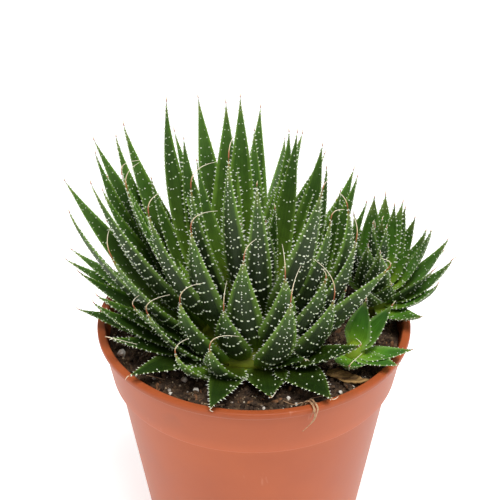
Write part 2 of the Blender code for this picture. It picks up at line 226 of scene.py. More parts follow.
# Painted shadow lines under the band and the lip, and painted highlights on the edges above them, laid
# over the clay
lines = add(tree, "ShaderNodeValToRGB", {"Fac": height}, stops=[(MM * z, grey) for z, grey in PAINTED_SHADOW_AND_HIGHLIGHT_LINES])
shadow_and_highlight_painted = add(tree, "ShaderNodeMix", {0: 0.7, 6: scuffs.outputs[2], 7: lines.outputs[0]}, data_type="RGBA",
            blend_type="OVERLAY")
peel = add(tree, "ShaderNodeTexNoise", {"Vector": where, "Scale": every(0.714), "Detail": 2.0})
relief = add(tree, "ShaderNodeBump",
             {"Height": peel.outputs["Fac"], "Strength": 0.06, "Distance": 0.2 * MM})
dullness = add(tree, "ShaderNodeMapRange",
               {"Value": mottle.outputs["Fac"], "To Min": 0.36, "To Max": 0.5})
surface(tree, {"Base Color": shadow_and_highlight_painted.outputs[2], "Roughness": dullness.outputs[0],
               "Specular IOR Level": 0.25, "Normal": relief.outputs[0]})

outside = rounded([
    (0, 0), (FOOT_RADIUS - FOOT_EDGE, 0), (FOOT_RADIUS, FOOT_EDGE),
    (BODY_TOP_RADIUS, BAND_FOOT - 0.6), (BAND_LOWER_RADIUS, BAND_FOOT),
    (BAND_UPPER_RADIUS, LIP_FOOT - 0.4), (LIP_RADIUS, LIP_FOOT + 0.2),
    (LIP_RADIUS, POT_HEIGHT), (BAND_UPPER_RADIUS - POT_WALL, POT_HEIGHT),
    (BAND_LOWER_RADIUS - POT_WALL, BAND_FOOT + 1.0), (BODY_TOP_RADIUS - POT_WALL, BAND_FOOT + 0.4),
    (FOOT_RADIUS - POT_WALL, FLOOR_THICKNESS), (0, FLOOR_THICKNESS),
], MOULD_CORNER)
pot = piece("moulded_pot", *turned(outside, POT_SIDES), polypropylene, "pot", "pot", smooth=POT_CREASE)
drills = bpy.data.collections.new("drain_drills")
drill = [(0, DRILL_LOW), (DRAIN_RADIUS, DRILL_LOW), (DRAIN_RADIUS, DRILL_HIGH), (0, DRILL_HIGH)]
for k in range(DRAIN_HOLES):
    angle = radians(DRAIN_FIRST_ANGLE) + tau * k / DRAIN_HOLES
    x, y = DRAIN_CIRCLE_RADIUS * cos(angle), DRAIN_CIRCLE_RADIUS * sin(angle)
    verts, faces = turned(drill, DRAIN_SIDES, x, y)
    mesh = bpy.data.meshes.new("drain_drill")
    mesh.from_pydata([tuple(MM * c for c in v) for v in verts], [], faces)
    drills.objects.link(bpy.data.objects.new("drain_drill", mesh))
drain = pot.modifiers.new("drain_holes", "BOOLEAN")
drain.operand_type = "COLLECTION"
drain.collection = drills
drain.solver = "EXACT"
bpy.context.view_layer.update()
drained = bpy.data.meshes.new_from_object(pot.evaluated_get(bpy.context.evaluated_depsgraph_get()))
pot.modifiers.clear()
pot.data = drained
pot.data.set_sharp_from_angle(angle=radians(POT_CREASE))
for used in list(drills.objects):
    bpy.data.objects.remove(used)
bpy.data.collections.remove(drills)


# Soil
# Peat-based potting mix pressed in by hand: dark fibrous crumbs with white perlite, pale quartz grit
# and flakes of bark, filled to just under the lip.
SOIL_TOP = 88.0
SOIL_RADIUS = 48.6
# The top droops outside this radius, by half a millimetre for each one
SOIL_SHOULDER = 46.5
SOIL_DROOP = 0.5
# Radius and height down the side, with the underside last
SOIL_SIDE = [(46.2, 75.0), (45.0, 74.0), (34.3, 2.2)]
SOIL_RINGS = 56
SOIL_SPOKES = 150
# Clear ground kept between the wall of the pot and the scattered grains
GRAIN_MARGIN = 1.3
SOIL_SEED = 11
# Perlite grains that stand out at the front: x, y and radius
FRONT_PERLITE = [(-43, -17, 1.5), (-33, -26, 1.1), (-22, -31, 1.2), (-18, -36, 1.0), (-26, -38, 0.8),
                 (-13, -40, 0.9), (27, -37, 0.7), (3, -45, 0.6), (13, -43, 0.7), (31, -34, 0.6)]


def ripple(x, y):
    """Height of the soil's uneven top above its level."""
    slow = 0.35 * np.sin(0.31 * x + 1.3) * np.cos(0.27 * y) + 0.25 * np.sin(0.83 * x - 0.61 * y)
    return slow + 0.2 * np.sin(2.3 * x + 1.7 * np.sin(1.1 * y)) * np.sin(2.1 * y + 0.6)


# Moist peat: dark brown flecked with tan, broken up by coarse fibre, with no gloss at all.
peat, tree, where = finish_of("moist_peat")
clump = add(tree, "ShaderNodeTexNoise",
            {"Vector": where, "Scale": every(2), "Detail": 8.0, "Roughness": 0.7})
earth = add(tree, "ShaderNodeValToRGB", {"Fac": clump.outputs["Fac"]},
            stops=[(0.3, "#20160E"), (0.5, "#473424"), (0.72, "#83674A")])
crumble = add(tree, "ShaderNodeTexNoise", {"Vector": where, "Scale": every(0.667), "Detail": 5.0})
relief = add(tree, "ShaderNodeBump",
             {"Height": crumble.outputs["Fac"], "Strength": 0.9, "Distance": 0.6 * MM})
dullness = add(tree, "ShaderNodeMapRange",
               {"Value": crumble.outputs["Fac"], "To Min": 0.8, "To Max": 1.0})
surface(tree, {"Base Color": earth.outputs[0], "Roughness": dullness.outputs[0],
               "Normal": relief.outputs[0]})

bed = [(SOIL_RADIUS * ring / SOIL_RINGS, SOIL_TOP) for ring in range(SOIL_RINGS + 1)]
bed += SOIL_SIDE + [(0.0, SOIL_SIDE[-1][1])]
verts, faces = turned(bed, SOIL_SPOKES)
for i, (x, y, z) in enumerate(verts):
    if z == SOIL_TOP:
        droop = SOIL_DROOP * max(0.0, (x * x + y * y) ** 0.5 - SOIL_SHOULDER)
        verts[i] = (x, y, z + float(ripple(x, y)) - droop)
piece("peat_bed", verts, [(face[0], *face[:0:-1]) for face in faces], peat, "soil", "soil", smooth=180)


def join(verts, faces, form):
    """Adds the points and faces of one small form to those of a larger mesh."""
    points, sides = form
    faces += [tuple(len(verts) + c for c in side) for side in sides]
    verts += points


def grains(rng, places, sizes, squash):
    """Rough little lumps: a twenty-sided form whose corners are pushed in and out at random."""
    # g is the golden ratio, and the corners lie about this reach out
    g = (1 + 5 ** 0.5) / 2
    reach = 1.9
    corners = np.array([(-1, g, 0), (1, g, 0), (-1, -g, 0), (1, -g, 0), (0, -1, g), (0, 1, g),
                        (0, -1, -g), (0, 1, -g), (g, 0, -1), (g, 0, 1), (-g, 0, -1), (-g, 0, 1)]) / reach
    sides = [(0, 11, 5), (0, 5, 1), (0, 1, 7), (0, 7, 10), (0, 10, 11), (1, 5, 9), (5, 11, 4),
             (11, 10, 2), (10, 7, 6), (7, 1, 8), (3, 9, 4), (3, 4, 2), (3, 2, 6), (3, 6, 8),
             (3, 8, 9), (4, 9, 5), (2, 4, 11), (6, 2, 10), (8, 6, 7), (9, 8, 1)]
    verts, faces = [], []
    for place, size in zip(places, sizes):
        turn, _ = np.linalg.qr(rng.normal(size=(3, 3)))
        lump = corners * rng.uniform(0.7, 1.25, (12, 1)) * np.array(squash)
        join(verts, faces, ([tuple(p) for p in (lump @ turn.T) * size + place], sides))
    return verts, faces


def scattered(rng, count, sizes):
    """Places on the soil for grains of these sizes, spread evenly and sunk in for most of their height."""
    r = (SOIL_RADIUS - GRAIN_MARGIN) * np.sqrt(rng.uniform(0.02, 1, count))
    angle = rng.uniform(0, tau, count)
    x, y = r * np.cos(angle), r * np.sin(angle)
    return np.stack([x, y, SOIL_TOP + ripple(x, y) + 0.3 * sizes], 1)


def strew(name, material, count, radii, squash, smooth, chosen=()):
    """Strews the soil with grains of one kind, and adds those chosen by place: x, y and radius."""
    sizes = rng.uniform(*radii, count)
    places = scattered(rng, count, sizes)
    if chosen:
        x, y, own = np.array(chosen, float).T
        places = np.concatenate([places, np.stack([x, y, SOIL_TOP + 0.3 + 0.5 * own], 1)])
        sizes = np.concatenate([sizes, own])
    piece(name, *grains(rng, places, sizes, squash), material, "soil", smooth=smooth)


rng = np.random.default_rng(SOIL_SEED)
strew("peat_crumbs", peat, count=2300, radii=(0.35, 1.15), squash=(1, 1, 1), smooth=40)

# Pine bark: thin reddish-brown flakes with a darker grain, drawn about twice as coarse as the real one.
bark, tree, where = finish_of("pine_bark_flakes")
grain = add(tree, "ShaderNodeTexNoise", {"Vector": where, "Scale": every(1.25), "Detail": 6.0})
brown = add(tree, "ShaderNodeValToRGB", {"Fac": grain.outputs["Fac"]},
            stops=[(0.3, "#4A2E1C"), (0.7, "#9A6C45")])
relief = add(tree, "ShaderNodeBump",
             {"Height": grain.outputs["Fac"], "Strength": 0.6, "Distance": 0.3 * MM})
surface(tree, {"Base Color": brown.outputs[0], "Roughness": 0.85, "Normal": relief.outputs[0]})
strew("bark_flakes", bark, count=260, radii=(0.4, 1.4), squash=(1.3, 0.6, 0.3), smooth=30)

# Perlite: expanded volcanic glass, chalk white and pitted, dusted with peat.
perlite, tree, where = finish_of("expanded_perlite")
pits = add(tree, "ShaderNodeTexVoronoi", {"Vector": where, "Scale": every(0.625)})
dust = add(tree, "ShaderNodeTexNoise", {"Vector": where, "Scale": every(1.43), "Detail": 4.0})
white = add(tree, "ShaderNodeValToRGB", {"Fac": dust.outputs["Fac"]},
            stops=[(0.35, "#A9937A"), (0.55, "#EDE7DC")])
relief = add(tree, "ShaderNodeBump",
             {"Height": pits.outputs["Distance"], "Strength": 0.5, "Distance": 0.3 * MM})
surface(tree, {"Base Color": white.outputs[0], "Roughness": 0.9, "Normal": relief.outputs[0]})
strew("perlite_grains", perlite, count=90, radii=(0.3, 0.95), squash=(1, 1, 0.85), smooth=50,
      chosen=FRONT_PERLITE)

# Quartz grit: small tan and grey grains with a slight glassy glint.
quartz, tree, where = finish_of("quartz_grit")
kinds = add(tree, "ShaderNodeTexNoise", {"Vector": where, "Scale": every(3.85), "Detail": 1.0})
tan = add(tree, "ShaderNodeValToRGB", {"Fac": kinds.outputs["Fac"]},
          stops=[(0.35, "#7C6548"), (0.5, "#B79E7C"), (0.65, "#CFC6B6")])
fine = add(tree, "ShaderNodeTexNoise", {"Vector": where, "Scale": every(0.455)})
relief = add(tree, "ShaderNodeBump",
             {"Height": fine.outputs["Fac"], "Strength": 0.4, "Distance": 0.2 * MM})
surface(tree, {"Base Color": tan.outputs[0], "Roughness": 0.5, "Normal": relief.outputs[0]})
strew("quartz_grit", quartz, count=1000, radii=(0.18, 0.5), squash=(1, 0.9, 0.8), smooth=60)


# Main rosette
# The oldest head of a living lace aloe: some eighty thick pointed leaves set in a spiral on one short
# stem. Each has a hollowed upper face, a keeled back with arcs of white tubercles, soft white teeth
# along its margins and keel, and a curling bristle where its tip has dried.
ROOT_SINK = 3.0
KEEL_DEPTH = 0.26
STEM_DEPTH = 8.0
STEM_SHARE = 0.6
# Share of a leaf's length that runs straight before it curls
CURL_LAG = 0.035
# Near leaves start past this compass angle. Between the low and the high rise they turn their backs to
# the viewer, by up to this share of the way round
NEAR_SIDE = 175.0
LOW_RISE = 25.0
HIGH_RISE = 45.0
NEAR_TWIST = 0.5
# Cuts along a leaf, and points across its back and its upper face
LEAF_STATIONS = 36
BACK_POINTS = 11
UPPER_POINTS = 5
CORE_SIDES = 32
# Share of the length past which a leaf carries nothing but its bristle
LEAF_END = 0.97
# Teeth: millimetres apart, half the width of the foot, and where they start and stop along the leaf
TOOTH_PITCH = 1.45
TOOTH_FOOT = 0.36
MARGIN_TEETH_START = 0.16
KEEL_TEETH_START = 0.5
TEETH_STOP = 0.965
KEEL_TOOTH_SHARE = 0.65
# Tubercles: millimetres apart across a leaf, the first row's place, and the stretch of joined ones
TUBERCLE_SPACING = 1.3
FIRST_ROW = 0.22
JOINED_STRETCH = 1.7
# Bristles: radius at the root, the highest that one reaches, and points along it
BRISTLE_RADIUS = 0.2
BRISTLE_CEILING = 166.0
BRISTLE_POINTS = 11
THREAD_SIDES = 5
# The picture is taken looking down by this angle
PICTURE_TILT = 31.0
# A head: x and y of its middle, stem radius, height of the lowest leaf, height of the leafy core
MAIN_HEAD = (0.0, -8.0, 21.0, 2.8, 16.0)
# A leaf: compass angle it grows from, angle its tip points towards, rise, curl, length, width, and level
# from 0 at the soil to 1 at the heart
GROUND_RING = [
    (250, 257, 15, -12, 28, 11, 0.0), (280, 275, 13, -10, 18, 14, 0.0), (300, 299, 14, -10, 27, 14, 0.0),
    (280, 332, 17, 0, 13, 12, 0.1), (306, 331, 25, 10, 26, 13, 0.0), (242, 226, -2, 80, 26, 11, 0.0),
    (214, 222, 13, -6, 29, 12, 0.0), (205, 203, 12, 20, 31, 12, 0.0), (256, 236, 8, 82, 22, 14, 0.0),
]
FRONT_RING = [
    (258, 221, 55, 35, 21, 12, 0.1), (240, 202, 42, 42, 28, 13, 0.0), (225, 200, 27, 40, 28, 13, 0.0),
    (208, 204, 22, 35, 30, 12, 0.15), (278, 306, 47, 42, 33, 12, 0.0), (285, 302, 56, 35, 32, 12.5, 0.25),
    (305, 336, 45, 35, 29, 13, 0.0), (300, 329, 47, 35, 34, 12, 0.2), (325, 351, 48, 6, 41, 13, 0.05),
    (320, 348, 47, 35, 43, 10.5, 0.25), (300, 352, 53, 35, 46, 10.5, 0.4), (335, 351, 45, 58, 50, 11, 0.3),
    (212, 195, 33, 35, 46, 13, 0.2), (230, 208, 66, 20, 43, 12, 0.3), (268, 245, 72, 20, 36, 12.5, 0.2),
    (300, 321, 65, 15, 58, 12, 0.5),
]
INNER_RING = [
    (225, 198, 47, 36, 52, 10, 0.4), (205, 174, 45, 30, 54, 9, 0.45), (185, 159, 42, 30, 55, 9, 0.4),
    (235, 185, 65, 22, 50, 9, 0.55), (265, 218, 75, 15, 58, 9, 0.7), (275, 270, 72, 18, 54, 9, 0.6),
    (150, 126, 46, 25, 57, 8, 0.6), (140, 138, 56, 25, 45, 7, 0.75),
]
BACK_RING = [
    (150, 137, 51, 45, 71, 11, 0.35), (140, 128, 51, 38, 56, 10, 0.35), (125, 110, 48, 25, 67, 11, 0.4),
    (150, 86, 60, 22, 66, 12, 0.35), (130, 83, 63, 22, 66, 11, 0.45), (100, 84, 46, 16, 63, 11, 0.4),
    (95, 88, 48, 20, 55, 9, 0.3), (85, 77, 41, 5, 56, 11, 0.3), (70, 67, 56, 29, 54, 9, 0.5),
    (60, 63, 59, 24, 54, 9, 0.5), (95, 60, 52, 3, 56, 11, 0.35), (75, 45, 59, -5, 50, 11, 0.4),
    (30, 61, 48, 24, 52, 11, 0.5), (10, 31, 56, 38, 49, 9, 0.5), (35, 52, 43, 15, 50, 12, 0.15),
    (15, 32, 50, 27, 49, 11, 0.3), (5, 40, 57, 19, 43, 11, 0.3), (355, 29, 47, 27, 45, 10, 0.2),
    (150, 149, 49, 24, 67, 13, 0.25), (160, 154, 48, 32, 67, 12, 0.1), (170, 142, 37, 24, 69, 12, 0.15),
    (175, 150, 39, 34, 66, 11, 0.05), (190, 145, 21, 29, 68, 12, 0.1), (190, 200, 47, 28, 68, 9, 0.2),
    (185, 162, 32, 39, 55, 11, 0.3), (185, 183, 33, 37, 60, 12, 0.05), (180, 153, 7, 21, 52, 12, 0.15),
    (160, 159, 51, 31, 49, 10, 0.3), (190, 176, 22, 15, 43, 12, 0.1), (200, 184, 23, 15, 36, 11, 0.05),
    (198, 191, 15, 34, 37, 12, 0.0), (195, 170, 6, 10, 39, 13, 0.0), (340, 23, 41, 15, 19, 12, 0.05),
]
# Rows of like leaves: first turn, step, number, rise, length, width, level
MAIN_ROWS = [(66, 19, 6, 14, 47, 11, 0.0), (75, 21, 4, 30, 56, 11, 0.1), (35, 137, 5, 78, 27, 8, 0.9)]
# Leaves that differ from their neighbours, by number: how light, and the share of tubercles they have
# The low ground leaves 0 to 4, 6 and 7 are made darker as painted shade, where they lie under the rosette;
# leaf 5 is a paler leaf of its own
ODD_LEAVES = {0: (0.36, 0.5), 1: (0.36, 0.55), 2: (0.28, 0.4), 3: (0.42, 0.75), 4: (0.42, 0.75),
              5: (1.5, 1.5), 6: (0.34, 0.35), 7: (0.5, 0.8)}
# Where a leaf's bristle ends, seen from the front: millimetres to the right of the tip and above it
BRISTLES = {0: (1, -1), 1: (2, 2), 2: (2, 0.5), 3: (1, -1), 4: (-1.5, 2), 5: (4, 4), 6: (-1, -1),
            7: (9, -2), 8: (9, 3), 9: (1, 8), 10: (7, 5), 11: (7, 6), 12: (2, 4), 13: (3, 10),
            14: (-1, 10), 15: (-8.5, 13.5), 16: (-1.5, 2.5), 17: (-3, 3), 18: (-2, 8), 19: (4, 2),
            20: (-3.5, 4.5), 21: (1, 11), 22: (8, 5), 23: (5, 6), 24: (2, 2), 25: (5, 6), 26: (4, 8),
            27: (6, 4), 28: (8, 7), 29: (2, 11)}


def rows(table, seed):
    """Leaves that step round the rosette in rows, each a little off the row's own measures."""
    rng = np.random.default_rng(seed)
    leaves = []
    for first, step, count, rise, length, width, level in table:
        for k in range(count):
            turn = (first + step * k) % 360 + rng.uniform(-3, 3)
            tilt = rise + rng.uniform(-3, 3)
            leaves.append((turn, turn, tilt, 15, length * rng.uniform(0.9, 1.1), width, level))
    return leaves


def back_angle(turn, rise):
    """Compass angle a leaf's back looks towards: outwards, or nearer the viewer on upright near leaves."""
    if turn <= NEAR_SIDE:
        return radians(turn)
    upright = min(1.0, max(0.0, (rise - LOW_RISE) / (HIGH_RISE - LOW_RISE)))
    return radians(turn + NEAR_TWIST * upright * (270 - turn))


def station(t):
    """Number of the last cut before each share t of a leaf's length."""
    return np.minimum((t * LEAF_STATIONS).astype(int), LEAF_STATIONS)


class Leaf:
    """One leaf: a curved midline with a width, a keeled back and a hollowed upper face."""

    def __init__(self, head, spec, rng):
        face, turn, rise, curl, length, width, level = spec
        x, y, radius, lift, height = head
        look = back_angle(turn, rise)
        self.length = length + ROOT_SINK
        self.width = width
        t = np.linspace(0, 1, LEAF_STATIONS + 1)
        angle = np.radians(rise + curl * np.maximum(t - CURL_LAG, 0))
        heading = radians(turn)
        flat = np.cos(angle)
        self.along = np.stack([flat * cos(heading), flat * sin(heading), np.sin(angle)], 1)
        outwards = np.array([cos(look), sin(look), 0.0])
        back = outwards - (self.along @ outwards)[:, None] * self.along
        self.back = back / np.linalg.norm(back, axis=1)[:, None]
        self.side = np.cross(self.along, self.back)
        reach = radius * (1 - 0.75 * level) - ROOT_SINK
        start = np.array([x + reach * cos(radians(face)), y + reach * sin(radians(face)),
                          SOIL_TOP + lift + height * level])
        steps = self.along[:-1] * self.length / LEAF_STATIONS
        self.middle = start + np.concatenate([np.zeros((1, 3)), np.cumsum(steps, 0)])
        sway = rng.uniform(-0.016, 0.016) * self.length
        self.middle += (sway * np.sin(t * tau / 2))[:, None] * self.side

    def half(self, t):
        """Half the width at the share t of the length: widest at a quarter, with a long point."""
        root = np.minimum(1.0, 0.55 + 1.8 * t)
        return self.width * 0.5 * root * (1 - t) ** 1.3 * (0.8 + 2.5 * t) + 0.15 * (1 - t)

    def at(self, t, u, back=True):
        """Points on the back or the upper face at the share t of the length and u across, -1 to 1."""
        place = t * LEAF_STATIONS
        i = np.minimum(place.astype(int), LEAF_STATIONS - 1)
        f = (place - i)[:, None]
        middle = self.middle[i] * (1 - f) + self.middle[i + 1] * f
        side = self.side[i] * (1 - f) + self.side[i + 1] * f
        out = self.back[i] * (1 - f) + self.back[i + 1] * f
        depth = self.width * KEEL_DEPTH * np.minimum(1.0, 0.5 + 1.5 * t) * (1 - t) ** 0.6 + 0.3 * (1 - t)
        if back:
            lift = depth * (1 - np.abs(u) ** (2.3 - 1.1 * t))
        else:
            lift = 0.32 * depth * np.minimum(1.0, 4 * t) * (1 - u * u)
        return middle + side * (u * self.half(t))[:, None] + out * lift[:, None]

    def normal(self, t, u, back=True):
        """Directions that point straight out of the back or the upper face."""
        e = 0.01
        across = self.at(t, np.minimum(u + e, 1), back) - self.at(t, np.maximum(u - e, -1), back)
        ahead = self.at(np.minimum(t + e, 0.999), u, back) - self.at(np.maximum(t - e, 0), u, back)
        out = np.cross(across, ahead)
        out /= np.linalg.norm(out, axis=1)[:, None]
        wrong = np.sum(out * self.back[station(t)], 1) * (1 if back else -1) < 0
        out[wrong] *= -1
        return out


def leaf_mesh(leaves, tones_and_shade, dried, head):
    """Points, faces, places and kinds of a rosette's leaves, with the domed core they sit on.

    A point's place is its share along the leaf, its share across and the leaf's number. A face's kind is
    how light its leaf is, its own tone on most leaves and painted shade on the low ones, how dry it is,
    and whether it is on the upper side.
    """
    across = np.concatenate([-np.cos(np.linspace(0, tau / 2, BACK_POINTS)),
                             np.linspace(1, -1, UPPER_POINTS + 2)[1:-1]])
    ring = len(across)
    verts, faces, places, kinds = [], [], [], []
    for n, (leaf, tone_and_shade, dry) in enumerate(zip(leaves, tones_and_shade, dried)):
        t = np.repeat(np.arange(LEAF_STATIONS) / LEAF_STATIONS, ring)
        u = np.tile(across, LEAF_STATIONS)
        is_back = np.tile(np.arange(ring) < BACK_POINTS, LEAF_STATIONS)
        points = np.where(is_back[:, None], leaf.at(t, u), leaf.at(t, u, False))
        first = len(verts)
        verts += [tuple(p) for p in points] + [tuple(leaf.middle[-1])]
        places += [(a, b, n) for a, b in zip(t, u)] + [(1.0, 0.0, n)]
        for i in range(LEAF_STATIONS):
            for k in range(ring):
                a, b = first + ring * i + k, first + ring * i + (k + 1) % ring
                last = i == LEAF_STATIONS - 1
                faces.append((a, b, first + ring * LEAF_STATIONS) if last else (a, b, b + ring, a + ring))
                kinds.append((tone_and_shade, dry, float(k >= BACK_POINTS - 1)))
        faces.append(tuple(range(first + ring - 1, first - 1, -1)))
        kinds.append((tone_and_shade, dry, 0.0))
    x, y, radius, lift, height = head
    low, neck, narrow = SOIL_TOP - STEM_DEPTH, SOIL_TOP + lift, STEM_SHARE * radius
    core = rounded([(0, low), (narrow, low), (narrow, SOIL_TOP + 0.3 * lift), (radius, neck),
                    (0.75 * radius, neck + 0.45 * height), (0.35 * radius, neck + 0.9 * height),
                    (0, neck + height)], 2.0)
    points, sides = turned(core, CORE_SIDES, x, y)
    join(verts, faces, (points, sides))
    kinds += [(0.8, 0.0, 0.0)] * len(sides)
    places += [(0.03, 0.0, 0.0)] * len(points)
    return verts, faces, places, kinds


def spikes(leaf, rng, t, u, out, size):
    """Soft teeth: four-sided spikes that stand out from the leaf and lean towards its tip."""
    foot = leaf.at(t, u) - 0.15 * out
    along = leaf.along[station(t)]
    across = np.cross(along, out)
    verts, faces, places = [], [], []
    lean = rng.uniform(0.1, 0.6, len(t))[:, None]
    tip = foot + (out + lean * along + rng.normal(0, 0.12, out.shape)) * (size[:, None] + 0.15)
    for k in range(len(t)):
        n = 5 * k
        ahead, aside = TOOTH_FOOT * along[k], 0.7 * TOOTH_FOOT * across[k]
        verts += [tuple(foot[k] + ahead), tuple(foot[k] + aside), tuple(foot[k] - ahead),
                  tuple(foot[k] - aside), tuple(tip[k])]
        faces += [(n, n + 1, n + 4), (n + 1, n + 2, n + 4), (n + 2, n + 3, n + 4), (n + 3, n, n + 4),
                  (n + 3, n + 2, n + 1, n)]
        places += [0.0] * 4 + [1.0]
    return verts, faces, places


def tooth_mesh(leaves, rng, longest):
    """Teeth along both margins of every leaf and along the outer half of its keel."""
    verts, faces, places = [], [], []
    for leaf in leaves:
        for edge in (-1, 1, 0):
            first = MARGIN_TEETH_START if edge else KEEL_TEETH_START
            count = int(leaf.length * (LEAF_END - first) / TOOTH_PITCH)
            t = np.linspace(first, TEETH_STOP, count)
            t += rng.uniform(-0.3, 0.3, count) * TOOTH_PITCH / leaf.length
            out = leaf.side[station(t)] * edge if edge else leaf.back[station(t)]
            size = longest * rng.uniform(0.55, 1.1, count) * np.minimum(1, 0.5 + 2 * t) * (1.1 - 0.5 * t)
            if not edge:
                size *= KEEL_TOOTH_SHARE
            *form, made = spikes(leaf, rng, t, np.full(count, 0.985 * edge), out, size)
            join(verts, faces, form)
            places += made
    return verts, faces, places


def spot_places(leaf, rng, share, pitch, back):
    """Shares t and u of the tubercles in bowed rows across a face, with their stretch across the leaf."""
    spots = []
    t = FIRST_ROW + rng.uniform(0, 0.05)
    while t < LEAF_END:
        count = max(1, int(2 * float(leaf.half(t)) / TUBERCLE_SPACING))
        joined = rng.random() < 0.4
        for k in range(count):
            u = -0.9 + 1.8 * (k + 0.5) / count + rng.normal(0, 0.03)
            place = t + (2.0 * u * u + rng.normal(0, 0.08)) / leaf.length
            likely = 0.88 if back else 0.15 + 0.5 * abs(u) + 0.3 * t
            if rng.random() < share * likely and abs(u) < 0.93 and place < LEAF_END:
                spots.append((place, u, JOINED_STRETCH if joined and rng.random() < 0.7 else 1.0))
        t += (pitch * (1.25 - 0.75 * t) + rng.normal(0, 0.25)) / leaf.length
    return np.array(spots).reshape(-1, 3)


def spot_mesh(leaves, shares, rng, pitch, radius):
    """Tubercles: little white domes in bowed rows on the back, and fewer on the upper face."""
    ring = [(cos(tau * k / 6), sin(tau * k / 6)) for k in range(6)]
    verts, faces = [], []
    for leaf, share in zip(leaves, shares):
        for back in (True, False):
            spots = spot_places(leaf, rng, share, pitch, back)
            if len(spots) == 0:
                continue
            t, u, stretch = spots[:, 0], spots[:, 1], spots[:, 2]
            out = leaf.normal(t, u, back)
            along = leaf.along[station(t)]
            across = np.cross(out, along)
            across /= np.linalg.norm(across, axis=1)[:, None]
            middle = leaf.at(t, u, back)
            size = radius * rng.uniform(0.75, 1.15, len(t)) * (1.1 - 0.6 * t)
            for k in range(len(t)):
                n = len(verts)
                r, c, o, a, s = size[k], middle[k], out[k], along[k], across[k] * stretch[k]
                for wide, high in ((1.0, -0.12), (0.72, 0.55 * r)):
                    verts += [tuple(c + wide * r * (p * a + q * s) + high * o) for p, q in ring]
                verts.append(tuple(c + (0.75 + 0.5 * t[k]) * r * o))
                for m in range(6):
                    w = (m + 1) % 6
                    faces += [(n + m, n + w, n + 6 + w, n + 6 + m), (n + 6 + m, n + 6 + w, n + 12)]
    return verts, faces


def thread(points, radii):
    """Points and faces of a thin round thread through points, closed at both ends."""
    sides = THREAD_SIDES
    ahead = np.gradient(points, axis=0)
    ahead /= np.linalg.norm(ahead, axis=1)[:, None]
    across = np.cross(ahead[0], [0.3, 0.9, 0.31])
    verts, faces = [], []
    for point, way, radius in zip(points, ahead, radii):
        across = across - across.dot(way) * way
        across /= np.linalg.norm(across)
        up = np.cross(way, across)
        for p, q, _ in circle(radius, 0.0, sides):
            verts.append(tuple(point + p * across + q * up))
    for i in range(len(points) - 1):
        for k in range(sides):
            a, b = sides * i + k, sides * i + (k + 1) % sides
            faces.append((a, b, b + sides, a + sides))
    faces.append(tuple(range(sides - 1, -1, -1)))
    faces.append(tuple(range(sides * (len(points) - 1), sides * len(points))))
    return verts, faces


def bristle_mesh(leaves, ends, rng):
    """The dried bristle on every leaf tip, curling over, with its place from root to end."""
    verts, faces, places = [], [], []
    tilt = radians(PICTURE_TILT)
    for n, leaf in enumerate(leaves):
        right, up = ends.get(n, (rng.uniform(-0.7, 0.7), rng.uniform(0.4, 1.8)))
        tip, way = leaf.middle[-1], leaf.along[-1]
        end = tip + np.array([right, sin(tilt) * up + rng.uniform(-1, 1), cos(tilt) * up])
        end[2] = min(end[2], BRISTLE_CEILING)
        reach = np.linalg.norm(end - tip)
        bend = tip + way * 0.6 * reach
        s = np.linspace(0, 1, BRISTLE_POINTS)[:, None]
        curve = (1 - s) ** 2 * (tip - 0.6 * way) + 2 * s * (1 - s) * bend + s * s * end
        join(verts, faces, thread(curve, BRISTLE_RADIUS * (1 - 0.7 * s[:, 0])))
        places += [float(a) for a in np.repeat(s[:, 0], THREAD_SIDES)]
    return verts, faces, places


